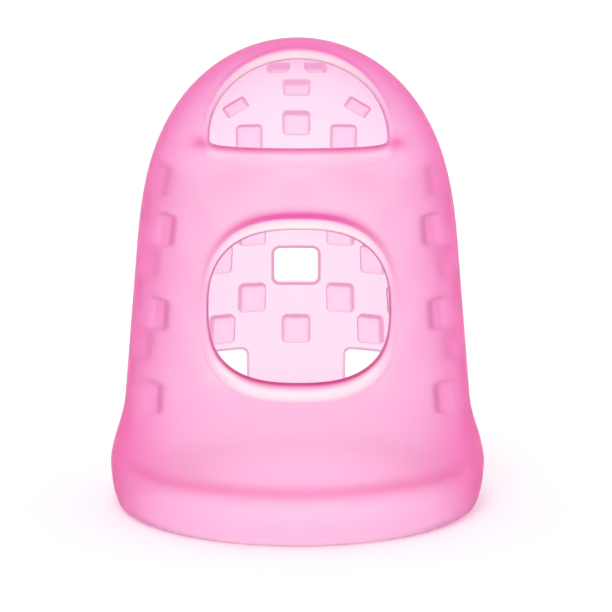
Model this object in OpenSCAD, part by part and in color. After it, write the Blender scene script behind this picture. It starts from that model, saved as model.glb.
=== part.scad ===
// Soft protector for one fingertip: a round tapered cap with a domed end, a flared rim,
// a window over the nail, a window over the pad, square vents and raised pips inside.
// The foot stands on Z = 0, the axis is Z, and both windows face -Y.

/* [Body] */
// Height from the foot to the crown of the dome
cap_h = 29; // [27:0.5:34]
// Thickness of the barrel and dome wall
wall = 1.1; // [0.9:0.05:1.3]
// Radius of the barrel at the top of the flare
barrel_r = 10.75; // [10.2:0.05:11.3]
// Radius of the barrel at the shoulder, where the dome starts
shoulder_r = 9.95; // [9.4:0.05:10.5]
// Height of the dome above the shoulder
dome_h = 13.1; // [11.5:0.1:14]
// Fullness of the dome, more is squarer
dome_fullness = 2.9; // [2.4:0.1:3.4]

/* [Rim] */
// Greatest radius of the flared rim
rim_r = 11.7; // [11.4:0.05:12.4]
// Outer radius of the foot that the cap stands on
foot_r = 10.9; // [10.7:0.05:11.2]
// Height of the widest part of the rim
rim_z = 2.9; // [2.3:0.1:3.4]
// Height at which the flare runs out into the barrel
flare_z = 6.9; // [6.2:0.1:7.6]
// Inner radius of the widened mouth
mouth_r = 10.45; // [10.2:0.05:10.55]
// Height of the step where the bore widens into the mouth
mouth_z = 3.15; // [2.8:0.05:3.6]
// Height over which that step slopes
mouth_step = 0.6; // [0.4:0.05:0.9]
// How far the mouth closes in again at the foot
foot_tuck = 0.3; // [0.1:0.05:0.4]

/* [Nail window] */
// Clear width of the window
nail_w = 10.5; // [9:0.1:11.2]
// Distance from the crown down to the window's top edge
nail_top = 1.25; // [1.2:0.05:2]
// Distance from the crown down to the window's sill
nail_sill = 6.15; // [5.4:0.05:6.6]
// Height above the sill at which the window is widest
nail_corner = 0.55; // [0.4:0.05:0.8]

/* [Pad window] */
// Clear width of the window
pad_w = 10.6; // [9:0.1:11.2]
// Height of the window's widest line above the foot
pad_z = 13.5; // [13:0.1:14]
// Reach of the window above that line
pad_up = 4.75; // [4:0.05:5]
// Reach of the window below that line
pad_down = 4.2; // [3.6:0.05:4.4]

/* [Window lip] */
// Width of the dished lip beside a window
lip_side = 0.5; // [0.35:0.05:0.7]
// Width of the dished lip above and below a window
lip_end = 1; // [0.5:0.05:1.1]
// Depth of the dish under the outer surface
lip_depth = 0.42; // [0.25:0.01:0.5]

/* [Vents] */
// Width of the middle vent
vent_w = 3.25; // [2.6:0.05:3.4]
// Width of each lower vent, seen from the front
low_vent_w = 2.85; // [2.4:0.05:3.1]
// Height of a vent
vent_h = 2.65; // [2.2:0.05:2.8]
// Radius of a vent's corners
vent_corner_r = 0.37; // [0.2:0.01:0.6]
// Height of the middle vent's centre
vent_z = 13.7; // [13.5:0.05:14]
// Height of the two lower vents' centres
low_vent_z = 6.9; // [6.6:0.05:7.1]
// Distance of the lower vents' centres from the middle
low_vent_x = 4.55; // [4.3:0.05:4.8]

/* [Pips] */
// Width of a pip around the wall
pip_w = 1.85; // [1.4:0.05:2]
// Height of a pip along the wall
pip_h = 1.9; // [1.4:0.05:2]
// How far a pip stands out of the inner wall
pip_rise = 0.45; // [0.25:0.05:0.6]
// Radius of a pip's corners
pip_corner_r = 0.3; // [0.15:0.05:0.5]
// Angle of the first column of the side field from the middle of the back
side_column_angle = 47.4; // [46.6:0.2:49]
// Angle from one side column to the next
column_pitch = 13.4; // [12.8:0.1:14.6]
// Columns in each side field
side_columns = 6; // [2:1:6]
// Height from which the rows of the side field are counted
side_row_z = 9.3; // [9:0.1:9.6]
// Height from one pip to the next in a column
row_pitch = 5.1; // [4.8:0.05:5.3]
// How much lower each side column starts than the one before
row_drop = 0.35; // [0:0.05:0.4]
// Height below which the side field has no pip centres
field_bottom = 6.4; // [6:0.1:7]
// Height above the shoulder at which the side field ends
field_top = 4.9; // [4:0.1:5.2]

/* [Hidden] */
$fn = 96;

silicone = [0.99, 0.74, 0.90];

// Heights worked out from the sizes above
shoulder_z = cap_h - dome_h;
barrel_slope = (shoulder_r - barrel_r) / (shoulder_z - flare_z);
nail_z = cap_h - nail_sill + nail_corner;
nail_up = nail_sill - nail_corner - nail_top;

// Exponents of the window outlines: 2 is an ellipse, more is squarer
nail_arch_power = 1.9;
nail_sill_power = 5;
pad_top_power = 2.5;
pad_bottom_power = 2.85;

// Steps along the curved stretches
dome_steps = 20;
flare_steps = 9;
rim_steps = 8;
mouth_steps = 4;
window_steps = 48;

// Margins that keep cutting shapes clear of the surfaces they cross
overshoot = 0.6;
crown_margin = 0.03;
slope_step = 0.01;
bite = 0.25;

// Farther out than any part of the wall
front_reach = max(rim_r, barrel_r) + overshoot;

// Pips round the vents as angle from the middle of the back and height over the middle vent's
// centre; each pip in these lists has a mirrored twin unless it stands in the middle
back_spots = [
    [0, -4.2],
    [0, 4.7],
    [18.75, -2],
    [19.5, 2.5],
    [19.5, 6.3],
    [32.1, -4],
    [34.85, 0.75],
    [34, 5.6]
];

// Pips on the dome as angle from the middle of the back, distance below the crown,
// and width and height as shares of the full pip
crown_spots = [
    [0, 2.37, 0.93, 0.66],
    [0, 5.1, 0.95, 0.9],
    [22.5, 0.78, 0.72, 0.45]
];

// Pips of the dome that are square to the front: distance from the middle, distance below
// the crown, width, height and lean towards the middle
arch_spots = [
    [3.87, 4.57, 1.5, 0.8, 30],
    [3.05, 6.65, 1.65, 1.7, 0]
];

// Radius of the straight tapered barrel, carried on above and below itself
function taper_r(z) = barrel_r + barrel_slope * (z - flare_z);

// Outer radius of the barrel and dome, with the barrel carried down through the rim
function body_r(z) =
    z < shoulder_z ? taper_r(z) :
    taper_r(z) * sqrt(max(0, 1 - pow((z - shoulder_z) / dome_h, dome_fullness)));

// Share of the rim's swell that is left at a height in the flare
function flare_share(z) = (1 + cos(180 * (z - rim_z) / (flare_z - rim_z))) / 2;

// Outer radius at a height: rounded foot, flare, barrel and dome
function outer_r(z) =
    z < rim_z ? foot_r + (rim_r - foot_r) * sqrt(1 - pow(1 - z / rim_z, 2)) :
    z < flare_z ? taper_r(z) + (rim_r - taper_r(rim_z)) * flare_share(z) :
    body_r(z);

// Change of the body's radius for each millimetre of height
function body_slope(z) = (body_r(z + slope_step) - body_r(z - slope_step)) / (2 * slope_step);

// Length of the body's surface for each millimetre of height
function stretch(z) = sqrt(1 + pow(body_slope(z), 2));

// A point of the section, a depth inside the body's surface at a height
function section_point(z, depth) = [
    body_r(z) - depth / stretch(z),
    z + depth * body_slope(z) / stretch(z)
];

// Heights along the dome, closer together towards the crown
function dome_height(i) = shoulder_z + dome_h * sin(90 * i / dome_steps);

rim_points = [for (i = [0:rim_steps]) let (z = rim_z * (1 - cos(90 * i / rim_steps))) [outer_r(z), z]];
flare_points = [
    for (i = [1:flare_steps]) let (z = rim_z + (flare_z - rim_z) * i / flare_steps) [outer_r(z), z]
];
dome_points = [for (i = [0:dome_steps - 1]) [outer_r(dome_height(i)), dome_height(i)]];

// Points of the dome a depth inside it, down from the axis
function dome_inner_points(depth) = [
    [0, cap_h - depth],
    for (i = [dome_steps - 1:-1:0]) section_point(dome_height(i), depth)
];

// The step between the bore and the mouth
mouth_points = [
    for (i = [0:mouth_steps])
        let (z = mouth_z + mouth_step * (0.5 - i / mouth_steps), bore_r = taper_r(z) - wall)
            [bore_r + (mouth_r - bore_r) * (1 - cos(180 * i / mouth_steps)) / 2, z]
];

module cap_section() {
    polygon(concat(
        rim_points,
        flare_points,
        dome_points,
        [[0, cap_h]],
        dome_inner_points(wall),
        mouth_points,
        [[mouth_r - foot_tuck, 0]]
    ));
}

// The layer inside the dome's wall, as deep as a pip stands out
module dome_layer_section() {
    top_line = dome_inner_points(wall - bite);
    under_line = dome_inner_points(wall + pip_rise);
    polygon(concat(top_line, [for (i = [dome_steps:-1:0]) under_line[i]]));
}

module rounded_plate(width, height, corner_r, thickness) {
    linear_extrude(height = thickness)
        union() {
            square([width - 2 * corner_r, height], center = true);
            square([width, height - 2 * corner_r], center = true);
            for (x = [-1, 1], y = [-1, 1])
                translate([x * (width / 2 - corner_r), y * (height / 2 - corner_r)])
                    circle(r = corner_r, $fn = 32);
        }
}

// Puts a shape on the outer surface at a height and an angle from the middle of the back,
// a depth below it, with its own Z axis pointing inwards
module on_wall(angle, z, depth) {
    place = section_point(z, depth);
    rotate([0, 0, 90 - angle])
        translate([place[0], 0, place[1]])
            rotate([0, atan(body_slope(z)) - 90, 0])
                rotate([0, 0, 90])
                    children();
}

// Turns a shape to face the back, so that it reaches from beyond the wall to the middle
module through_back(x, z) {
    translate([x, front_reach, z])
        rotate([90, 0, 0])
            children();
}

module pip(angle, z, width_share, height_share) {
    corner_r = pip_corner_r * height_share;
    on_wall(angle, z, wall - bite)
        rounded_plate(pip_w * width_share, pip_h * height_share, corner_r, pip_rise + bite);
}

module pip_pair(angle, z, width_share = 1, height_share = 1) {
    pip(angle, z, width_share, height_share);
    if (angle > 0) pip(-angle, z, width_share, height_share);
}

module back_pips() {
    for (spot = back_spots) pip_pair(spot[0], vent_z + spot[1]);
}

module side_pips() {
    for (k = [0:side_columns - 1]) {
        start_z = side_row_z - row_drop * k + (k % 2 == 0 ? row_pitch / 2 : 0);
        for (i = [-1:3]) {
            z = start_z + row_pitch * i;
            if (z > field_bottom && z < shoulder_z + field_top)
                pip_pair(side_column_angle + column_pitch * k, z);
        }
    }
}

module crown_pips() {
    for (spot = crown_spots) pip_pair(spot[0], cap_h - spot[1], spot[2], spot[3]);
}

module arch_pips() {
    intersection() {
        rotate_extrude() dome_layer_section();
        for (spot = arch_spots, side = [-1, 1])
            through_back(side * spot[0], cap_h - spot[1])
                rotate([0, 0, -side * spot[4]])
                    rounded_plate(spot[2], spot[3], pip_corner_r * spot[3] / pip_h, front_reach);
    }
}

module pips() {
    back_pips();
    side_pips();
    crown_pips();
    arch_pips();
}

module vent(x, z, width) {
    through_back(x, z) rounded_plate(width, vent_h, vent_corner_r, front_reach);
}

module vents() {
    vent(0, vent_z, vent_w);
    vent(low_vent_x, low_vent_z, low_vent_w);
    vent(-low_vent_x, low_vent_z, low_vent_w);
}

function signed_power(value, power) = sign(value) * pow(abs(value), power);

// A rounded outline with its own reach and squareness above and below its widest line
function outline_point(t, half_w, up, down, up_power, down_power) =
    let (power = 2 / (sin(t) > 0 ? up_power : down_power))
        [half_w * signed_power(cos(t), power), (sin(t) > 0 ? up : down) * signed_power(sin(t), power)];

// Y of the front surface over a point, moved inwards by a depth
function front_y(x, z, depth) =
    let (level = min(z, cap_h - crown_margin), r = outer_r(level) - depth * stretch(level))
        -sqrt(max(pow(max(r, 0), 2) - x * x, slope_step));

// The dished lip as share of its width and depth under the outer surface, from outside inwards
lip_steps = [
    [1.15, -bite],
    [0.98, 0.04 * lip_depth],
    [0.85, 0.25 * lip_depth],
    [0.7, 0.62 * lip_depth],
    [0.58, 0.87 * lip_depth],
    [0.45, lip_depth],
    [0.2, 1.15 * lip_depth],
    [0.08, 1.4 * lip_depth],
    [0, 1.9 * lip_depth]
];

// Cutting shape of a window: it comes in from the front, forms the lip and ends in the bore
module window_cutter(z, half_w, up, down, up_power, down_power) {
    function ring(share) = [
        for (i = [0:window_steps - 1])
            let (grow_end = share * lip_end)
                outline_point(360 * i / window_steps, half_w + share * lip_side,
                    up + grow_end, down + grow_end, up_power, down_power)
    ];
    front_ring = [for (p = ring(lip_steps[0][0])) [p[0], -front_reach, z + p[1]]];
    lip_rings = [
        for (step = lip_steps)
            for (p = ring(step[0]))
                [p[0], front_y(p[0], z + p[1], step[1]), z + p[1]]
    ];
    back_ring = [for (p = ring(0)) [p[0], 0, z + p[1]]];
    ring_count = len(lip_steps) + 2;
    polyhedron(
        points = concat(front_ring, lip_rings, back_ring),
        faces = concat(
            [[for (i = [window_steps - 1:-1:0]) i]],
            [
                for (k = [0:ring_count - 2], i = [0:window_steps - 1])
                    let (a = k * window_steps + i, b = k * window_steps + (i + 1) % window_steps)
                        each [[a, b, a + window_steps], [b, b + window_steps, a + window_steps]]
            ],
            [[for (i = [0:window_steps - 1]) (ring_count - 1) * window_steps + i]]
        ),
        convexity = 6
    );
}

module nail_window() {
    window_cutter(nail_z, nail_w / 2, nail_up, nail_corner, nail_arch_power, nail_sill_power);
}

module pad_window() {
    window_cutter(pad_z, pad_w / 2, pad_up, pad_down, pad_top_power, pad_bottom_power);
}

module finger_cap() {
    color(silicone)
        difference() {
            union() {
                rotate_extrude() cap_section();
                pips();
            }
            vents();
            nail_window();
            pad_window();
        }
}

finger_cap();
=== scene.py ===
import math

import bmesh
import bpy
import numpy as np
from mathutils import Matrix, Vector
from mathutils.geometry import delaunay_2d_cdt


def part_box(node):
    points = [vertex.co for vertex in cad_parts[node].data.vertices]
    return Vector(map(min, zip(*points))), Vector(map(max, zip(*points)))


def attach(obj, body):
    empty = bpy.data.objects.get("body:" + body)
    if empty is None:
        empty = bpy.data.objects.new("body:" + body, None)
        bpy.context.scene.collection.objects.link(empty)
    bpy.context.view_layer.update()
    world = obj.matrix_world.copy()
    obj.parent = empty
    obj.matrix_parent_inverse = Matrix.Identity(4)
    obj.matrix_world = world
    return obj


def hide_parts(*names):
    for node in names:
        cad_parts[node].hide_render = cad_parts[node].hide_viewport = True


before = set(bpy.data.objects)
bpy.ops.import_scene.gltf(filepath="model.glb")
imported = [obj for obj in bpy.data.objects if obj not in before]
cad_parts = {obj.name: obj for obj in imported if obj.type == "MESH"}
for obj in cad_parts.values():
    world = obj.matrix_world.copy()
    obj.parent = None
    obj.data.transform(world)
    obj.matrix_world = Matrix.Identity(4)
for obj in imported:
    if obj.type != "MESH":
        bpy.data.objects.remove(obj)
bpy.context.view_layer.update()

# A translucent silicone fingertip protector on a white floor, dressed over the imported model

NODE = "finger_cap"
BODY = "root"
MM = 0.001
BACKWARDS = np.array([0.0, 1.0, 0.0])

# The section of the cap in millimetres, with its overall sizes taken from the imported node
node_low, node_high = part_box(NODE)
CAP_H = (node_high[2] - node_low[2]) / MM
RIM_R = (node_high[0] - node_low[0]) / 2 / MM
WALL = 1.1
BARREL_R = 10.75
SHOULDER_R = 9.95
DOME_H = 13.1
DOME_FULLNESS = 2.9
FOOT_R = 10.9
RIM_Z = 2.9
FLARE_Z = 6.9
MOUTH_R = 10.45
MOUTH_Z = 3.15
MOUTH_STEP = 0.6
FOOT_TUCK = 0.3

# Worked out from the sizes above: the shoulder's height and how the barrel's radius changes
SHOULDER_Z = CAP_H - DOME_H
BARREL_SLOPE = (SHOULDER_R - BARREL_R) / (SHOULDER_Z - FLARE_Z)

# Distances from the crown down to the nail window's top and sill, and from the sill up to
# the height at which that window is widest
NAIL_TOP = 1.17
NAIL_SILL = 6.15
NAIL_CORNER = 0.55

# Each window's outline: height of its widest line, half width, reach above and below that line,
# and squareness above and below. Its lip: share of the full width above, depth of the dish
# above and below, and the share of the width at which the lip starts. Its painted light and
# shade: strength of the painted shade on the brow, of the painted highlight on the lower lip, of
# the painted shadow line along the edge and of the painted highlight band on the upper lip, and
# the share of the width at which that band ends.
NAIL_WINDOW = dict(z=CAP_H - NAIL_SILL + NAIL_CORNER, half_w=5.25,
                   up=NAIL_SILL - NAIL_CORNER - NAIL_TOP, down=NAIL_CORNER,
                   up_power=2.0, down_power=7, grow_up=0.79, dish_up=0.2, dish_down=0.4,
                   reach=1.3, brow=0, gleam=0.105, line=0.35, upper_highlight=0.6, fade=0.82)
PAD_WINDOW = dict(z=13.5, half_w=5.3, up=4.75, down=4.1, up_power=2.5, down_power=2.85,
                  grow_up=1.0, dish_up=0.6, dish_down=0.6, reach=1.5,
                  brow=1, gleam=0.574, line=1, upper_highlight=0.66, fade=0.6)

# The lip's width at the sides and at the ends of a window, and its depth at the sides
LIP_SIDE = 0.5
LIP_END = 1.0
DISH_SIDE = 0.05

# Shares of the lip's width: where its slope starts and ends, where its flat stretch has points,
# and where the cut edge starts to round off, with the drop of that rounding
LEAD_IN_SHARES = (1, 0.6, 0.3)
SLOPE_START = 1.1
SLOPE_END = 0.5
SLOPE_POINTS = 11
FLAT_SHARES = (0.4, 0.3)
ROUND_START = 0.2
ROUND_DROP = 0.35
ROUND_POINTS = 7
MIDDLE_OF_LIP = 0.5

# The vents, each as distance from the middle, height, width and strength of its painted shadow
# line
VENT_Z = 13.7
VENT_H = 2.65
VENT_CORNER_R = 0.37
LOW_VENT = (4.55, 6.9, 2.85, 0.7)
VENTS = [(0, VENT_Z, 3.25, 1), LOW_VENT, (-LOW_VENT[0],) + LOW_VENT[1:]]

# The pips, and the columns that they stand in at the sides
PIP_W = 1.85
PIP_H = 1.9
PIP_RISE = 0.45
PIP_CORNER_R = 0.3
SIDE_COLUMN_ANGLE = 47.4
COLUMN_PITCH = 13.4
SIDE_COLUMNS = 6
SIDE_ROWS = range(-1, 4)
SIDE_ROW_Z = 9.3
ROW_PITCH = 5.1
ROW_DROP = 0.35
FIELD_BOTTOM = 6.4
FIELD_TOP = 4.9

# Pips at the back: angle from the middle of the back and height over the middle vent
BACK_SPOTS = [(0, -4.2), (0, 4.7), (18.75, -2), (19.5, 2.5), (19.5, 6.3), (32.1, -4),
              (34.85, 0.75), (34, 5.6)]

# Pips on the dome: angle, distance below the crown, shares of the full width and height
CROWN_SPOTS = [(0, 2.37, 0.93, 0.66), (0, 5.1, 0.95, 0.9), (22.5, 0.78, 0.72, 0.45)]

# Pips square to the front: distance from the middle and below the crown, width, height, lean
ARCH_SPOTS = [(3.87, 4.57, 1.5, 0.8, 30), (3.05, 6.65, 1.65, 1.7, 0)]

# The silicone: the dye that fills it, its surface, the painted shade along creases and the
# painted shadow lines along edges
DYE_COLOUR = (0.997, 0.0, 0.72, 1)
DYE_DENSITY = 248.0
CLEAR_COLOUR = (1, 0.99, 0.96, 1)
CREASE_SHADE_COLOUR = (0.8, 0.06, 0.35, 1)
SHADOW_LINE_COLOUR = (0.55, 0.17, 0.34, 1)
GLOSS_COLOUR = (0.4, 0.2, 0.4, 1)
REFRACTION = 1.12
ROUGHNESS = (0.42, 0.54)
GRAIN_SCALE = 900.0
GRAIN_BUMP = 0.06
GRAIN_DEPTH = 0.00005

# How milky the skin is, the knots from the clear skin under the dome to the milky skin below,
# and the knots from the front to the back
VEIL = 0.07
VEIL_BELOW_CROWN = [(7.5, 0), (9.5, 1)]
BACK_KNOTS = [(-1, 0), (2, 1)]

# Knots of share of the lip's width and strength, for each painted shade, shadow line and
# highlight of a lip
BROW_KNOTS = [(0.6, 0), (0.7, 1), (1, 1), (1.25, 0.3), (1.5, 0)]
SILL_KNOTS = [(0, 1), (0.1, 0.8), (0.24, 0.6), (0.36, 0)]
EDGE_KNOTS = [(0, 1), (0.08, 0.9), (0.18, 0)]
GLEAM_KNOTS = [(0.3, 0), (0.5, 1), (0.8, 1), (1.05, 0)]
UPPER_HIGHLIGHT_KNOTS = [(0.03, 0), (0.1, 1), (0.45, 1)]
BROW_POWER = 1.4
EDGE_ABOVE = 0.5
SHADE_IN_CUT = 0.6

# Strength of the painted shadow lines of a vent's inner rings and of a pip's rings, from the foot
# to the top, and knots from a pip's lower edge to its darker upper one, and from its outer side
# to its inner one
VENT_RING_SHADOW_LINES = (0.2, 0.8, 1, 0.8, 0)
PIP_RING_SHADOW_LINES = (0, 0.5, 0.9, 1, 1, 1, 0.85, 0.15, 0)
PIP_SHADOW_LINE = 0.9
PIP_SIDE_KNOTS = [(-1, 0.4), (-0.8, 0.85), (0.8, 0.85), (1, 1)]
COLUMN_TOP_KNOTS = [(0.7, 0), (0.9, 1)]
COLUMN_SIDE_KNOTS = [(0.8, 0), (1, 1)]

# Painted shade beside each end of the nail window's sill, and round the step in the mouth, along
# the flare above it and weaker towards the back
EAR_SHADE = 0.85
EAR_X = 5.75
EAR_OVER_SILL = 0.2
EAR_Z = CAP_H - NAIL_SILL + EAR_OVER_SILL
EAR_REACH_X = 0.65
EAR_REACH_Z = 0.38
MOUTH_SHADE = 0.85
MOUTH_SHADE_Z = 2.9
MOUTH_SHADE_REACH = 0.5
FLARE_SHADE = 0.3
FLARE_SHADE_REACH = 2.2
BACK_SHADE = 0.15
BACK_SHADE_FROM = -4
BACK_SHADE_TO = 4

# The lights and the floor
WORLD_LIGHT = 0.8
SUN_STRENGTH = 1.0
SUN_SPREAD = 35
SUN_FROM = (-0.12, -0.6, 0.8)
FLOOR_COLOUR = (0.97, 0.97, 0.97, 1)
FLOOR_ROUGHNESS = 0.9
FLOOR_GLOW = 0.06
FLOOR_WHITE_THROUGH = 0.1
FLOOR_HALF = 30
FLOOR_DROP = 0.00002
WHITE = (1, 1, 1, 1)

# The camera, in metres, degrees and millimetres of lens
CAMERA_DISTANCE = 0.13
CAMERA_HEIGHT = 0.033056
CAMERA_PITCH = 9.029
CAMERA_SIDE = 0.6
CAMERA_LENS = 124.34
CAMERA_SENSOR = 36
CAMERA_SHIFT = 0.0139
CAMERA_CLIP = 0.01

# How far edges are rounded, the fillet at a pip's foot and the width of the painted shadow line
# at a vent
EDGE_R = 0.12
VENT_EDGE_R = 0.18
PIP_EDGE_R = 0.22
PIP_FILLET = 0.1
VENT_LINE_W = 0.06

# Fineness of the mesh: size of its grid, the share of that which it keeps from the loops, the
# turn between two rings, and counts of points and steps
GRID = 0.45
CLEARANCE = 0.6
TURN_LIMIT = math.radians(9)
LEAST_RING = 6
FOOT_POINTS = 180
WINDOW_POINTS = 150
BEVEL_STEPS = 3
DOME_STEPS = 900
FLARE_STEPS = 500
ROLL_STEPS = 300
BARREL_STEPS = 400
MOUTH_STEPS = 120
EDGE_STEPS = 20
OUTLINE_SAMPLES = 20001
DROP_ROUNDS = 6

# Stand-in for the logarithm of no radius, at the pole of the conformal map
POLE_LOG = -50

# Margins that keep roots, slopes and the window's cut away from where they break down
LEAST_R = 1e-9
MERGE_DISTANCE = 1e-7
LEAST_SQUARE = 0.01
CROWN_MARGIN = 0.03
SLOPE_STEP = 0.005
LEAST_CUT = 0.05
INNER_EDGE_SHARE = 0.7

# Sockets of a colour mix
MIX_SHARE = 0
MIX_A = 6
MIX_B = 7
MIX_RESULT = 2


def taper_r(z):
    return BARREL_R + BARREL_SLOPE * (z - FLARE_Z)


def body_r(z):
    """Outer radius of the dome and barrel, with the barrel carried down through the rim."""
    z = np.asarray(z, float)
    up = np.clip((z - SHOULDER_Z) / DOME_H, 0, 1)
    return taper_r(z) * np.sqrt(1 - up ** DOME_FULLNESS)


def outer_r(z):
    """Outer radius with the flared rim and the rounded foot."""
    z = np.asarray(z, float)
    flare = np.clip((z - RIM_Z) / (FLARE_Z - RIM_Z), 0, 1)
    swell = (RIM_R - taper_r(RIM_Z)) * (1 + np.cos(math.pi * flare)) / 2
    roll = FOOT_R + (RIM_R - FOOT_R) * np.sqrt(np.clip(1 - (1 - z / RIM_Z) ** 2, 0, 1))
    return np.where(z < RIM_Z, roll, body_r(z) + swell * (z < FLARE_Z))


def body_slope(z):
    """How fast the body's radius grows with height."""
    up = np.clip((np.asarray(z, float) - SHOULDER_Z) / DOME_H, 0, 1)
    full = np.sqrt(1 - up ** DOME_FULLNESS)
    bend = DOME_FULLNESS * up ** (DOME_FULLNESS - 1) / (2 * DOME_H * full)
    return BARREL_SLOPE * full - taper_r(z) * bend


def body_point(z, depth):
    """Radius and height of the point a depth inside the body's outer surface."""
    slope = body_slope(z)
    stretch = np.sqrt(1 + slope ** 2)
    return body_r(z) - depth / stretch, z + depth * slope / stretch


class Meridian:
    """A section line from the axis down to the foot, with the conformal map that unrolls it."""

    def __init__(self, r, z):
        self.r = np.asarray(r, float)
        self.z = np.asarray(z, float)
        steps = np.hypot(np.diff(self.r), np.diff(self.z))
        self.s = np.concatenate([[0], np.cumsum(steps)])
        middle = (self.r[1:] + self.r[:-1]) / 2
        log_radius = np.concatenate([[0], np.cumsum(steps[1:] / middle[1:])])
        self.w = np.concatenate([[POLE_LOG], log_radius])
        self.w[1:] -= self.w[-1]

    def w_at(self, z):
        return np.interp(-np.asarray(z), -self.z[1:], self.w[1:])

    def r_at(self, z):
        return np.interp(-np.asarray(z), -self.z, self.r)

    def z_at_w(self, w):
        return np.interp(w, self.w[1:], self.z[1:])

    def stations(self):
        """Arc lengths about a grid step apart, closer where the line turns."""
        heading = np.unwrap(np.arctan2(np.diff(self.z), np.diff(self.r)))
        picked = [0.0]
        last = 0
        for i in range(1, len(heading)):
            far = self.s[i] - self.s[last] > GRID
            if far or abs(heading[i] - heading[last]) > TURN_LIMIT:
                picked.append(self.s[i])
                last = i
        return picked


def dome_heights():
    return SHOULDER_Z + DOME_H * np.sin(np.linspace(math.pi / 2, 0, DOME_STEPS))


def outer_meridian():
    flare = np.linspace(SHOULDER_Z, RIM_Z, FLARE_STEPS)[1:]
    roll = RIM_Z * (1 - np.cos(np.linspace(math.pi / 2, 0, ROLL_STEPS)))[1:]
    z = np.concatenate([dome_heights(), flare, roll])
    return Meridian(outer_r(z), z)


def dome_line(depth):
    """Radius and height of the dome's section a depth inside it, down from the axis."""
    r, z = body_point(dome_heights()[1:], depth)
    return np.concatenate([[0], r]), np.concatenate([[CAP_H - depth], z])


def inner_meridian():
    r, z = dome_line(WALL)
    step_top = MOUTH_Z + MOUTH_STEP / 2
    bore_end = taper_r(step_top) - WALL
    barrel = np.linspace(0, 1, BARREL_STEPS)[1:]
    turn = np.linspace(0, 1, MOUTH_STEPS)[1:]
    step_z = step_top - MOUTH_STEP * turn
    step_r = taper_r(step_z) - WALL
    step_r = step_r + (MOUTH_R - step_r) * (1 - np.cos(math.pi * turn)) / 2
    skirt = np.linspace(0, 1, MOUTH_STEPS)[1:]
    skirt_r = MOUTH_R - FOOT_TUCK * skirt
    skirt_z = (MOUTH_Z - MOUTH_STEP / 2) * (1 - skirt) + EDGE_R * skirt
    edge_turn = np.linspace(0, math.pi / 2, EDGE_STEPS)[1:]
    edge_r = skirt_r[-1] + EDGE_R * (1 - np.cos(edge_turn))
    edge_z = EDGE_R * (1 - np.sin(edge_turn))
    barrel_r = r[-1] + (bore_end - r[-1]) * barrel
    barrel_z = z[-1] + (step_top - z[-1]) * barrel
    return Meridian(np.concatenate([r, barrel_r, step_r, skirt_r, edge_r]),
                    np.concatenate([z, barrel_z, step_z, skirt_z, edge_z]))


def under_dome():
    """The surface on which the tops of the dome's pips lie."""
    return Meridian(*dome_line(WALL + PIP_RISE))


def ramp(x, *knots):
    """Straight lines through (x, y) knots."""
    return np.interp(x, [k[0] for k in knots], [k[1] for k in knots])


def skin(y, z):
    """How milky the outer skin is: not at all at the back under the dome."""
    clear = 1 - ramp(CAP_H - z, *VEIL_BELOW_CROWN)
    return VEIL * (1 - clear * ramp(y, *BACK_KNOTS))


def ear(x, z):
    """Painted shade beside each end of the nail window's sill."""
    across, up = (np.abs(x) - EAR_X) / EAR_REACH_X, (z - EAR_Z) / EAR_REACH_Z
    return EAR_SHADE * np.exp(-across ** 2 - up ** 2)


class Builder:
    """Collects points and faces, in millimetres."""

    def __init__(self):
        self.points = []
        self.faces = []
        self.normals = {}
        # Painted values at each point: shade in creases, shadow lines along edges, and the milky
        # skin with painted highlights
        self.painted_shade = {}
        self.line = {}
        self.milk_and_highlight = {}

    def loop(self, points):
        first = len(self.points)
        self.points.extend(tuple(p) for p in points)
        return list(range(first, first + len(points)))

    def bridge(self, a, b):
        """Quads between two closed loops of as many points."""
        count = len(a)
        for i in range(count):
            j = (i + 1) % count
            self.faces.append((a[i], a[j], b[j], b[i]))

    def paint(self, layer, loops, values):
        """Gives each loop its share of a shade; values are one number or array for each loop."""
        for loop, value in zip(loops, values):
            for i, v in zip(loop, np.broadcast_to(value, len(loop))):
                layer[i] = float(v)

    def chain(self, rings):
        """Bridges a run of rings; each is a list of points or of point numbers."""
        loops = [ring if isinstance(ring[0], int) else self.loop(ring) for ring in rings]
        for a, b in zip(loops, loops[1:]):
            self.bridge(a, b)
        return loops

    def fan(self, loop, tip):
        centre = len(self.points)
        self.points.append(tuple(tip))
        for i, a in enumerate(loop):
            self.faces.append((a, loop[(i + 1) % len(loop)], centre))


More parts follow.
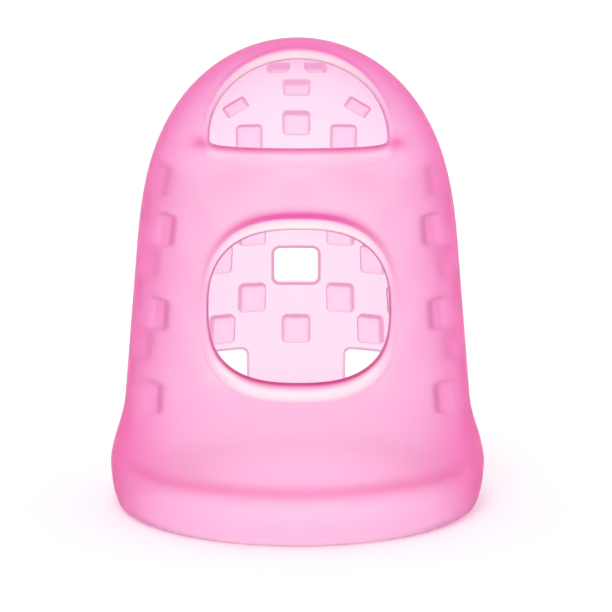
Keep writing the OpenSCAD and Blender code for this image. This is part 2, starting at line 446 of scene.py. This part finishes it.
class Sheet:
    """One side of the wall: a revolved surface with closed loops cut out of it."""

    def __init__(self, builder, meridian, outward):
        self.builder = builder
        self.meridian = meridian
        self.outward = outward
        self.loops = []

    def plane(self, points):
        """The conformal map of points on the surface onto a disc."""
        p = np.asarray(points, float)
        radius = np.exp(self.meridian.w_at(p[:, 2]))
        angle = np.arctan2(p[:, 1], p[:, 0])
        return np.stack([radius * np.cos(angle), radius * np.sin(angle)], 1)

    def lift(self, flat):
        """The surface point over each point of the disc."""
        radius = np.hypot(flat[:, 0], flat[:, 1])
        z = self.meridian.z_at_w(np.log(radius))
        r = self.meridian.r_at(z)
        return np.stack([flat[:, 0] / radius * r, flat[:, 1] / radius * r, z], 1)

    def grow(self, points, distance):
        """Moves a closed loop outwards on the surface by a distance."""
        flat = self.plane(points)
        ahead = np.roll(flat, -1, 0) - np.roll(flat, 1, 0)
        normal = np.stack([ahead[:, 1], -ahead[:, 0]], 1)
        normal /= np.linalg.norm(normal, axis=1)[:, None]
        x, y = flat[:, 0], flat[:, 1]
        area = np.sum(x * np.roll(y, -1) - np.roll(x, -1) * y)
        p = np.asarray(points)
        scale = np.hypot(x, y) / np.hypot(p[:, 0], p[:, 1])
        return self.lift(flat + normal * (math.copysign(distance, area) * scale)[:, None])

    def hole(self, points):
        loop = self.builder.loop(points)
        self.loops.append(loop)
        return loop

    def grid(self):
        """Points spread evenly over the surface, each ring turned by half a step."""
        rows = [np.zeros((1, 3)) + (0, 0, self.meridian.z[0])]
        for k, s in enumerate(self.meridian.stations()[1:]):
            r = np.interp(s, self.meridian.s, self.meridian.r)
            z = np.interp(s, self.meridian.s, self.meridian.z)
            count = max(LEAST_RING, round(2 * math.pi * r / GRID))
            angle = (np.arange(count) + 0.5 * (k % 2)) * 2 * math.pi / count
            rows.append(np.stack([r * np.cos(angle), r * np.sin(angle), np.full(count, z)], 1))
        return rows

    def free_grid(self, ring_points, outlines):
        """The grid's points between the foot and the holes, on the surface and on the disc."""
        grid = np.concatenate(self.grid())
        pole_flat = np.zeros((1, 2))
        flat = np.concatenate([pole_flat, self.plane(grid[1:])])
        keep = inside(flat, outlines[0])
        for outline in outlines[1:]:
            low, high = outline.min(0), outline.max(0)
            near = np.all((flat > low) & (flat < high), 1) & keep
            keep[near] = ~inside(flat[near], outline)
        keep &= spaced(grid, ring_points, CLEARANCE * GRID)
        return grid[keep], flat[keep]

    def fill(self):
        """Triangulates what lies between the foot and the holes."""
        ring_numbers = [i for loop in self.loops for i in loop]
        ring_points = np.array([self.builder.points[i] for i in ring_numbers])
        ring_flat = self.plane(ring_points)
        edges = []
        outlines = []
        first = 0
        for loop in self.loops:
            count = len(loop)
            edges.extend((first + i, first + (i + 1) % count) for i in range(count))
            outlines.append(ring_flat[first:first + count])
            first += count
        grid, flat = self.free_grid(ring_points, outlines)
        numbers = ring_numbers + self.builder.loop(grid)
        all_flat = [Vector(p) for p in np.concatenate([ring_flat, flat])]
        verts, _, faces, origins, *_ = delaunay_2d_cdt(all_flat, edges, [], 0, MERGE_DISTANCE)
        owner = {i: k for k, loop in enumerate(self.loops) for i in loop}
        for face in faces:
            ids = [numbers[origins[v][0]] for v in face]
            holders = {owner.get(i, -1) for i in ids}
            if len(holders) == 1 and -1 not in holders:
                k = holders.pop()
                centre = np.mean([verts[v] for v in face], axis=0)[None]
                if bool(inside(centre, outlines[k])[0]) == (k > 0):
                    continue
            self.builder.faces.append(tuple(ids) if self.outward else tuple(reversed(ids)))
        for i in numbers:
            self.builder.normals[i] = self.normal(self.builder.points[i])
            self.shade(i)

    def shade(self, i):
        """The milky outer skin, and painted shade beside the sill and in the crease of the
        mouth's step.
        """
        x, y, z = self.builder.points[i]
        milk_and_highlight, painted_shade = self.builder.milk_and_highlight, self.builder.painted_shade
        if self.outward:
            milk_and_highlight[i] = max(milk_and_highlight.get(i, 0.0), skin(y, z))
            painted_shade[i] = max(painted_shade.get(i, 0.0), ear(x, z) * (y < 0))
        else:
            # Painted shade in the crease of the mouth's step and along the flare above it, weaker
            # at the back
            over = z - MOUTH_SHADE_Z
            crease = MOUTH_SHADE * math.exp(-(over / MOUTH_SHADE_REACH) ** 2)
            flare = FLARE_SHADE * math.exp(-(over / FLARE_SHADE_REACH) ** 2) * (over > 0)
            crease = max(crease, flare) * ramp(y, (BACK_SHADE_FROM, 1), (BACK_SHADE_TO, BACK_SHADE))
            painted_shade[i] = max(painted_shade.get(i, 0.0), crease)

    def normal(self, point):
        """Direction out of the silicone at a point of the surface."""
        m = self.meridian
        x, y, z = point
        along = np.interp(-z, -m.z, np.gradient(m.r)), np.interp(-z, -m.z, np.gradient(m.z))
        r = max(math.hypot(x, y), LEAST_R)
        n = np.array([-along[1] * x / r, -along[1] * y / r, along[0]])
        n /= np.linalg.norm(n)
        return n if self.outward else -n


def inside(points, outline):
    """Which points lie inside a closed outline."""
    x, y = points[:, 0][:, None], points[:, 1][:, None]
    x0, y0 = outline[:, 0][None], outline[:, 1][None]
    x1, y1 = np.roll(x0, -1), np.roll(y0, -1)
    spans = (y0 > y) != (y1 > y)
    with np.errstate(divide="ignore", invalid="ignore"):
        cross = x < (x1 - x0) * (y - y0) / (y1 - y0) + x0
    return np.sum(spans & cross, 1) % 2 == 1


def spaced(points, others, distance):
    """Which points keep a distance from all the others."""
    cells = {}
    for p in others:
        cells.setdefault(tuple(np.floor(p / distance).astype(int)), []).append(p)
    keep = np.ones(len(points), bool)
    around = [(i, j, k) for i in (-1, 0, 1) for j in (-1, 0, 1) for k in (-1, 0, 1)]
    for n, p in enumerate(points):
        cell = np.floor(p / distance).astype(int)
        for step in around:
            for q in cells.get(tuple(cell + step), ()):
                if np.sum((p - q) ** 2) < distance ** 2:
                    keep[n] = False
    return keep


def bevel(a, corner, b):
    """Rings that round a corner, from ring a to ring b with both ends left out."""
    a, corner, b = (np.asarray(ring) for ring in (a, corner, b))
    share = np.arange(1, BEVEL_STEPS) / BEVEL_STEPS
    return [(1 - t) ** 2 * a + 2 * t * (1 - t) * corner + t ** 2 * b for t in share]


def plate_outline(width, height, corner_r, corner_steps=5, edge_steps=3):
    """A rectangle with rounded corners as x and y, anticlockwise."""
    corners = [(1, 1, 0), (-1, 1, 90), (-1, -1, 180), (1, -1, 270)]
    points = []
    for x, y, start in corners:
        for i in range(corner_steps + 1):
            a = math.radians(start + 90 * i / corner_steps)
            points.append((x * (width / 2 - corner_r) + corner_r * math.cos(a),
                           y * (height / 2 - corner_r) + corner_r * math.sin(a)))
        tip = points[-1]
        step = (-1 if y > 0 else 1, 0) if x * y > 0 else (0, -1 if x < 0 else 1)
        length = (width if step[0] else height) - 2 * corner_r
        for i in range(1, edge_steps):
            points.append((tip[0] + step[0] * length * i / edge_steps,
                           tip[1] + step[1] * length * i / edge_steps))
    return np.array(points)


def on_wall(outline, angle, z, depth):
    """Stands a flat outline on the wall at an angle from the middle of the back."""
    place_r, place_z = body_point(z, depth)
    slope = body_slope(z)
    stretch = math.hypot(1, slope)
    along = np.stack([slope / stretch * outline[:, 1], outline[:, 1] / stretch], 1)
    radial = place_r + along[:, 0]
    height = place_z + along[:, 1]
    a = math.radians(angle)
    x = radial * math.sin(a) + outline[:, 0] * math.cos(a)
    y = radial * math.cos(a) - outline[:, 0] * math.sin(a)
    return np.stack([x, y, height], 1)


def normal_at(angle, z):
    """Outward direction of the wall at an angle from the middle of the back."""
    slope = float(body_slope(z))
    stretch = math.hypot(1, slope)
    a = math.radians(angle)
    return np.array([math.sin(a), math.cos(a), -slope]) / stretch


def drop_onto(meridian, points, direction):
    """Slides points along a direction until they lie on a revolved surface."""
    points = np.array(points)
    tangent = np.stack([np.gradient(meridian.r), np.gradient(meridian.z)], 1)
    for _ in range(DROP_ROUNDS):
        r = np.hypot(points[:, 0], points[:, 1])
        gap = np.stack([meridian.r[None] - r[:, None], meridian.z[None] - points[:, 2:3]], 2)
        nearest = np.argmin(np.sum(gap ** 2, 2), 1)
        along = tangent[nearest]
        normal = np.stack([-along[:, 1], along[:, 0]], 1)
        miss = -np.sum(gap[np.arange(len(points)), nearest] * normal, 1)
        radial = (points[:, 0] * direction[0] + points[:, 1] * direction[1]) / r
        rate = radial * normal[:, 0] + direction[2] * normal[:, 1]
        points = points - direction * (miss / rate)[:, None]
    return points


def superellipse(t, window, share):
    """Points of a window's outline, grown by a share of its lip."""
    half_w = window["half_w"] + share * LIP_SIDE
    above = np.sin(t) > 0
    power = 2 / np.where(above, window["up_power"], window["down_power"])
    grow = share * LIP_END * np.where(above, window["grow_up"], 1)
    reach = np.where(above, window["up"], window["down"]) + grow
    x = half_w * np.sign(np.cos(t)) * np.abs(np.cos(t)) ** power
    z = reach * np.sign(np.sin(t)) * np.abs(np.sin(t)) ** power
    return x, window["z"] + z


def even_angles(window):
    """Angles that space a window's points evenly along its outline."""
    t = np.linspace(0, 2 * math.pi, OUTLINE_SAMPLES)
    x, z = superellipse(t, window, MIDDLE_OF_LIP)
    s = np.concatenate([[0], np.cumsum(np.hypot(np.diff(x), np.diff(z)))])
    return np.interp(np.arange(WINDOW_POINTS) * s[-1] / WINDOW_POINTS, s, t)


def half_chord(r, x):
    """Distance from the middle plane of the round surface of radius r over x."""
    return np.sqrt(np.maximum(np.maximum(r, 0) ** 2 - x ** 2, LEAST_SQUARE))


def front_y(x, z, depth):
    """Y of the outer surface in front, moved inwards by a depth."""
    level = np.minimum(z, CAP_H - CROWN_MARGIN)
    rise = outer_r(level + SLOPE_STEP) - outer_r(level - SLOPE_STEP)
    stretch = np.sqrt(1 + (rise / (2 * SLOPE_STEP)) ** 2)
    return -half_chord(outer_r(level) - depth * stretch, x)


def lip_profile(reach):
    """Share of the lip's width against share of its depth: rim, slope, flat, round edge."""
    lead_in = reach - SLOPE_START
    profile = [(SLOPE_START + lead_in * share, 0.0) for share in LEAD_IN_SHARES]
    for u in np.linspace(0, 1, SLOPE_POINTS):
        width_share = SLOPE_START + (SLOPE_END - SLOPE_START) * u
        profile.append((width_share, (1 - math.cos(math.pi * u)) / 2))
    profile += [(share, 1.0) for share in FLAT_SHARES]
    for a in np.linspace(0, math.pi / 2, ROUND_POINTS):
        profile.append((ROUND_START * (1 - math.sin(a)), 1 + ROUND_DROP * (1 - math.cos(a))))
    return profile


def add_window(builder, outer, inner, window):
    """A window with its dished lip outside, its cut through the wall and its inner edge."""
    t = even_angles(window)
    x, z = superellipse(t, window, MIDDLE_OF_LIP)
    ahead = np.stack([np.roll(x, -1) - np.roll(x, 1), np.roll(z, -1) - np.roll(z, 1)])
    ahead /= np.hypot(*ahead)
    side, up = ahead[1], -ahead[0]
    high, low = np.maximum(up, 0), np.maximum(-up, 0)
    fall = window["dish_up"] * high + window["dish_down"] * low + DISH_SIDE * side ** 2
    profile = lip_profile(window["reach"])
    rings = []
    for share, depth in profile:
        x, z = superellipse(t, window, share)
        rings.append(np.stack([x, front_y(x, z, depth * fall), z], 1))
    x, z = superellipse(t, window, 0)
    corner = np.stack([x, -half_chord(inner.meridian.r_at(z), x), z], 1)
    before = corner - BACKWARDS * EDGE_R
    before[:, 1] = np.maximum(before[:, 1], rings[-1][:, 1] + LEAST_CUT)
    beside = inner.grow(corner, EDGE_R * INNER_EDGE_SHARE)
    rings[0] = outer.hole(rings[0])
    last = inner.hole(beside)
    loops = builder.chain(rings + [before] + bevel(before, corner, beside) + [last])
    shade_lip(builder, loops, window, profile, high, low, side)


def shade_lip(builder, loops, window, profile, high, low, side):
    """Paints shade on a window's brow and sill, a shadow line on its edge and highlights over its
    milky skin.
    """
    # Painted shadow line along the cut edge, weaker above
    edge = window["line"] * (EDGE_ABOVE * high + np.abs(side) + low)
    painted_shades, lines, milk_and_highlights = [], [], []
    for (share, _), loop in zip(profile, loops):
        x, y, z = np.array([builder.points[i] for i in loop]).T
        # Painted shade on the brow and on the sill
        brow = window["brow"] * high ** BROW_POWER * ramp(share, *BROW_KNOTS)
        sill = low * ramp(share, *SILL_KNOTS)
        painted_shades.append(np.maximum.reduce([brow, sill, ear(x, z)]))
        lines.append(edge * ramp(share, *EDGE_KNOTS))
        # Painted highlight bands on the upper and lower lips, over the milky skin
        upper_highlight = window["upper_highlight"] * high * ramp(share, *UPPER_HIGHLIGHT_KNOTS, (window["fade"], 0))
        gleam = window["gleam"] * low * ramp(share, *GLEAM_KNOTS)
        milk_and_highlights.append(np.maximum.reduce([upper_highlight, gleam, skin(y, z)]))
    cut = loops[len(profile):-1]
    # Painted shade, painted shadow lines, and the milky skin with painted highlights, on the
    # lip's rings and in the cut
    builder.paint(builder.painted_shade, loops, painted_shades)
    builder.paint(builder.painted_shade, cut, [low * SHADE_IN_CUT] * len(cut))
    builder.paint(builder.line, loops, lines)
    builder.paint(builder.line, cut, [edge] * len(cut))
    builder.paint(builder.milk_and_highlight, loops, milk_and_highlights)


def add_vent(builder, outer, inner, x, z, width, line):
    """A tunnel straight back through the wall, with rounded edges and a painted shadow line round
    its mouth.
    """
    outline = plate_outline(width - 2 * VENT_EDGE_R, VENT_H - 2 * VENT_EDGE_R, VENT_CORNER_R)
    flat = facing_back(outline, x, z)
    top = drop_onto(outer.meridian, flat, BACKWARDS)
    bottom = drop_onto(inner.meridian, flat, BACKWARDS)
    top_side = top - BACKWARDS * EDGE_R
    bottom_side = bottom + BACKWARDS * VENT_EDGE_R
    top_rim = outer.grow(top, EDGE_R)
    bottom_rim = inner.grow(bottom, VENT_EDGE_R)
    rings = [outer.hole(top_rim)] + bevel(top_rim, top, top_side) + [top_side, bottom_side]
    rings += bevel(bottom_side, bottom, bottom_rim) + [bottom_rim]
    rings.append(inner.hole(inner.grow(bottom_rim, VENT_LINE_W)))
    loops = builder.chain(rings)
    # Painted shadow line on the rings round the tunnel's inner mouth
    lines = [line * share for share in VENT_RING_SHADOW_LINES]
    builder.paint(builder.line, loops[-len(lines):], lines)


def facing_back(outline, x, z, lean=0):
    """Stands an outline square to the front at the back of the bore."""
    turn = math.radians(lean)
    across = outline[:, 0] * math.cos(turn) - outline[:, 1] * math.sin(turn) + x
    up = outline[:, 0] * math.sin(turn) + outline[:, 1] * math.cos(turn) + z
    return np.stack([across, half_chord(body_r(up), across) - WALL, up], 1)


def back_shadow_line(outline):
    """Painted shadow line round a pip at the back, strongest towards the crown."""
    up = outline[:, 1] / outline[:, 1].max()
    return PIP_SHADOW_LINE * ramp(up, *PIP_SIDE_KNOTS)


def column_shadow_line(outline, angle):
    """Painted shadow line on a side column's pip, on its upper edge and on the side that looks
    inwards.
    """
    across, up = (outline / outline.max(0)).T
    inwards = -across * np.sign(math.sin(math.radians(2 * angle)))
    top, side = ramp(up, *COLUMN_TOP_KNOTS), ramp(inwards, *COLUMN_SIDE_KNOTS)
    return PIP_SHADOW_LINE * np.maximum(top, side)


def raise_pip(builder, inner, foot, crown, line):
    """A pip with a rounded top and a small fillet round its foot."""
    fillet = inner.grow(foot, PIP_FILLET)
    rise = crown - foot
    rise /= np.linalg.norm(rise, axis=1)[:, None]
    low_side = foot + rise * PIP_FILLET
    high_side = crown - rise * PIP_EDGE_R
    middle = crown.mean(0)
    spread = np.linalg.norm(crown - middle, axis=1)[:, None]
    top = crown + (middle - crown) * PIP_EDGE_R / spread
    rings = [inner.hole(fillet)] + bevel(fillet, foot, low_side) + [low_side, high_side]
    rings += bevel(high_side, crown, top) + [top, (top + middle) / 2]
    loops = builder.chain(rings)
    builder.fan(loops[-1], middle)
    # Painted shadow line along the pip's rings
    builder.paint(builder.line, loops, [share * line for share in PIP_RING_SHADOW_LINES])


def pip_outline(width, height):
    return plate_outline(width, height, PIP_CORNER_R * height / PIP_H,
                         corner_steps=4, edge_steps=2)


def add_pip(builder, inner, angle, z, width_share=1, height_share=1):
    """A pip that stands square to the wall."""
    outline = pip_outline(PIP_W * width_share, PIP_H * height_share)
    foot = drop_onto(inner.meridian, on_wall(outline, angle, z, WALL), normal_at(angle, z))
    crown = on_wall(outline, angle, z, WALL + PIP_RISE)
    at_side = abs(angle) >= SIDE_COLUMN_ANGLE
    # Painted shadow line: on a side column's upper and inner edges, or round a back pip
    line = column_shadow_line(outline, angle) if at_side else back_shadow_line(outline) * height_share
    raise_pip(builder, inner, foot, crown, line)


def add_arch_pip(builder, inner, x, z, width, height, lean):
    """A pip on the dome that is square to the front."""
    outline = pip_outline(width, height)
    flat = facing_back(outline, x, z, lean)
    foot = drop_onto(inner.meridian, flat, BACKWARDS)
    crown = drop_onto(under_dome(), flat, BACKWARDS)
    raise_pip(builder, inner, foot, crown, back_shadow_line(outline))


def both_sides(places):
    """The places and their mirrored twins, where the first number isn't zero."""
    return places + [(-place[0],) + tuple(place[1:]) for place in places if place[0] > 0]


def wall_pips():
    """Angle, height and shares of every pip that stands square to the wall."""
    places = [(angle, VENT_Z + over) for angle, over in BACK_SPOTS]
    for k in range(SIDE_COLUMNS):
        start = SIDE_ROW_Z - ROW_DROP * k + (0 if k % 2 else ROW_PITCH / 2)
        for i in SIDE_ROWS:
            z = start + ROW_PITCH * i
            if FIELD_BOTTOM < z < SHOULDER_Z + FIELD_TOP:
                places.append((SIDE_COLUMN_ANGLE + COLUMN_PITCH * k, z))
    places += [(angle, CAP_H - below, w, h) for angle, below, w, h in CROWN_SPOTS]
    return both_sides(places)


def arch_pips():
    """Distance from the middle, height, size and lean of every pip square to the front."""
    places = [(x, CAP_H - below, w, h, -lean) for x, below, w, h, lean in ARCH_SPOTS]
    return places + [(-x, z, w, h, -lean) for x, z, w, h, lean in places]


def foot_loop(meridian):
    angle = np.arange(FOOT_POINTS) * 2 * math.pi / FOOT_POINTS
    r = meridian.r[-1]
    return np.stack([r * np.cos(angle), r * np.sin(angle), np.zeros(FOOT_POINTS)], 1)


def build_cap():
    """Points, faces and painted values of the whole cap."""
    builder = Builder()
    outer = Sheet(builder, outer_meridian(), outward=True)
    inner = Sheet(builder, inner_meridian(), outward=False)
    outer_foot = outer.hole(foot_loop(outer.meridian))
    inner_foot = inner.hole(foot_loop(inner.meridian))
    builder.bridge(inner_foot, outer_foot)
    for window in (NAIL_WINDOW, PAD_WINDOW):
        add_window(builder, outer, inner, window)
    for vent in VENTS:
        add_vent(builder, outer, inner, *vent)
    for place in wall_pips():
        add_pip(builder, inner, *place)
    for place in arch_pips():
        add_arch_pip(builder, inner, *place)
    outer.fill()
    inner.fill()
    return builder


def make_cap():
    builder = build_cap()
    mesh = bpy.data.meshes.new("silicone_cap")
    mesh.from_pydata([tuple(c * MM for c in p) for p in builder.points], [], builder.faces)
    shell = bmesh.new()
    shell.from_mesh(mesh)
    bmesh.ops.recalc_face_normals(shell, faces=shell.faces)
    shell.to_mesh(mesh)
    shell.free()
    mesh.polygons.foreach_set("use_smooth", [True] * len(mesh.polygons))
    # Painted shade, painted shadow lines, and the milky skin with painted highlights, kept on the
    # points
    for name in ("painted_shade", "line", "milk_and_highlight"):
        layer = getattr(builder, name)
        values = [layer.get(i, 0.0) for i in range(len(builder.points))]
        mesh.attributes.new(name, "FLOAT", "POINT").data.foreach_set("value", values)
    normals = [builder.normals.get(v.index, v.normal) for v in mesh.vertices]
    mesh.normals_split_custom_set_from_vertices([tuple(n) for n in normals])
    cap = bpy.data.objects.new("silicone_cap", mesh)
    bpy.context.scene.collection.objects.link(cap)
    return cap


def socket(node, **values):
    for name, value in values.items():
        node.inputs[name.replace("_", " ")].default_value = value


def painted(nodes, name):
    """The socket that gives a painted value of the mesh."""
    attribute = nodes.new("ShaderNodeAttribute")
    attribute.attribute_name = name
    return attribute.outputs["Fac"]


def colour_mix(tree, share, blend, second):
    """A mix of two colours by a share, with the second one set."""
    mix = tree.nodes.new("ShaderNodeMix")
    mix.data_type = "RGBA"
    mix.blend_type = blend
    mix.inputs[MIX_B].default_value = second
    tree.links.new(share, mix.inputs[MIX_SHARE])
    return mix


def colour_silicone(tree, shell):
    """Clear colour, with painted shade along the creases and painted shadow lines along the
    edges.
    """
    shaded = colour_mix(tree, painted(tree.nodes, "painted_shade"), "MIX", CREASE_SHADE_COLOUR)
    shaded.inputs[MIX_A].default_value = CLEAR_COLOUR
    edge_shaded = colour_mix(tree, painted(tree.nodes, "line"), "MULTIPLY", SHADOW_LINE_COLOUR)
    tree.links.new(shaded.outputs[MIX_RESULT], edge_shaded.inputs[MIX_A])
    tree.links.new(edge_shaded.outputs[MIX_RESULT], shell.inputs["Base Color"])


def grain_silicone(tree, shell):
    """A satin surface: fine noise in the roughness and the bump."""
    nodes, links = tree.nodes, tree.links
    where = nodes.new("ShaderNodeTexCoord")
    grain = nodes.new("ShaderNodeTexNoise")
    socket(grain, Scale=GRAIN_SCALE, Detail=4.0, Roughness=0.6)
    links.new(where.outputs["Object"], grain.inputs["Vector"])
    haze = nodes.new("ShaderNodeMapRange")
    socket(haze, To_Min=ROUGHNESS[0], To_Max=ROUGHNESS[1])
    links.new(grain.outputs["Fac"], haze.inputs["Value"])
    links.new(haze.outputs["Result"], shell.inputs["Roughness"])
    bump = nodes.new("ShaderNodeBump")
    socket(bump, Strength=GRAIN_BUMP, Distance=GRAIN_DEPTH)
    links.new(grain.outputs["Fac"], bump.inputs["Height"])
    links.new(bump.outputs["Normal"], shell.inputs["Normal"])


def silicone_material():
    """Clear pink rubber: its colour comes from how far light goes through it, and from painted
    shade and highlights.
    """
    material = bpy.data.materials.new("translucent_silicone")
    material.use_nodes = True
    tree = material.node_tree
    nodes, links = tree.nodes, tree.links
    nodes.clear()
    out = nodes.new("ShaderNodeOutputMaterial")
    shell = nodes.new("ShaderNodeBsdfPrincipled")
    socket(shell, IOR=REFRACTION, Specular_Tint=GLOSS_COLOUR)
    colour_silicone(tree, shell)
    grain_silicone(tree, shell)
    # Less light goes through where the skin is milky and where highlights are painted
    clear = nodes.new("ShaderNodeMath")
    clear.operation = "SUBTRACT"
    clear.inputs[0].default_value = 1.0
    links.new(painted(nodes, "milk_and_highlight"), clear.inputs[1])
    links.new(clear.outputs["Value"], shell.inputs["Transmission Weight"])
    links.new(shell.outputs["BSDF"], out.inputs["Surface"])
    dye = nodes.new("ShaderNodeVolumeAbsorption")
    socket(dye, Color=DYE_COLOUR, Density=DYE_DENSITY)
    links.new(dye.outputs["Volume"], out.inputs["Volume"])
    return material


def floor_material():
    """Matt white with a faint glow, and brighter where it is seen through the silicone."""
    material = bpy.data.materials.new("white_floor")
    material.use_nodes = True
    nodes, links = material.node_tree.nodes, material.node_tree.links
    shell = nodes["Principled BSDF"]
    socket(shell, Base_Color=FLOOR_COLOUR, Roughness=FLOOR_ROUGHNESS, Specular_IOR_Level=0.0,
           Emission_Color=WHITE, Emission_Strength=FLOOR_GLOW)
    backdrop = nodes.new("ShaderNodeEmission")
    socket(backdrop, Color=WHITE, Strength=1.0)
    path = nodes.new("ShaderNodeLightPath")
    share = nodes.new("ShaderNodeMath")
    share.operation = "MULTIPLY"
    share.inputs[1].default_value = FLOOR_WHITE_THROUGH
    links.new(path.outputs["Is Transmission Ray"], share.inputs[0])
    mix = nodes.new("ShaderNodeMixShader")
    links.new(share.outputs["Value"], mix.inputs["Fac"])
    links.new(shell.outputs["BSDF"], mix.inputs[1])
    links.new(backdrop.outputs["Emission"], mix.inputs[2])
    links.new(mix.outputs["Shader"], nodes["Material Output"].inputs["Surface"])
    return material


def greatest(tree, value, *others):
    """The greatest of several values."""
    for other in others:
        node = tree.nodes.new("ShaderNodeMath")
        node.operation = "MAXIMUM"
        tree.links.new(value, node.inputs[0])
        tree.links.new(other, node.inputs[1])
        value = node.outputs["Value"]
    return value


def make_world():
    """White to the camera, in reflections and through the silicone, softer as a light."""
    world = bpy.data.worlds.new("studio")
    bpy.context.scene.world = world
    world.use_nodes = True
    tree = world.node_tree
    nodes, links = tree.nodes, tree.links
    nodes.clear()
    out = nodes.new("ShaderNodeOutputWorld")
    path = nodes.new("ShaderNodeLightPath")
    light = nodes.new("ShaderNodeBackground")
    socket(light, Color=WHITE, Strength=WORLD_LIGHT)
    backdrop = nodes.new("ShaderNodeBackground")
    socket(backdrop, Color=WHITE, Strength=1.0)
    seen = greatest(tree, path.outputs["Is Camera Ray"], path.outputs["Is Transmission Ray"],
                    path.outputs["Is Glossy Ray"])
    mix = nodes.new("ShaderNodeMixShader")
    links.new(seen, mix.inputs["Fac"])
    links.new(light.outputs["Background"], mix.inputs[1])
    links.new(backdrop.outputs["Background"], mix.inputs[2])
    links.new(mix.outputs["Shader"], out.inputs["Surface"])


def make_floor():
    mesh = bpy.data.meshes.new("floor")
    half = FLOOR_HALF
    mesh.from_pydata([(-half, -half, 0), (half, -half, 0), (half, half, 0), (-half, half, 0)], [],
                     [(0, 1, 2, 3)])
    floor = bpy.data.objects.new("floor", mesh)
    bpy.context.scene.collection.objects.link(floor)
    floor.location.z = -FLOOR_DROP
    floor.data.materials.append(floor_material())


def make_sun():
    data = bpy.data.lights.new("key", "SUN")
    data.energy = SUN_STRENGTH
    data.angle = math.radians(SUN_SPREAD)
    sun = bpy.data.objects.new("key", data)
    bpy.context.scene.collection.objects.link(sun)
    sun.rotation_euler = Vector(SUN_FROM).to_track_quat("Z", "Y").to_euler()


def make_camera():
    data = bpy.data.cameras.new("camera")
    data.sensor_width = CAMERA_SENSOR
    data.lens = CAMERA_LENS
    data.clip_start = CAMERA_CLIP
    data.shift_x = CAMERA_SHIFT
    camera = bpy.data.objects.new("camera", data)
    bpy.context.scene.collection.objects.link(camera)
    side = math.radians(CAMERA_SIDE)
    camera.location = (-CAMERA_DISTANCE * math.sin(side), -CAMERA_DISTANCE * math.cos(side),
                       CAMERA_HEIGHT)
    camera.rotation_euler = (math.radians(90 - CAMERA_PITCH), 0, -side)
    bpy.context.scene.camera = camera


cap = make_cap()
cap.data.materials.append(silicone_material())
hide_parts(NODE)
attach(cap, BODY)
make_floor()
make_world()
make_sun()
make_camera()
bpy.context.scene.view_settings.view_transform = "Standard"
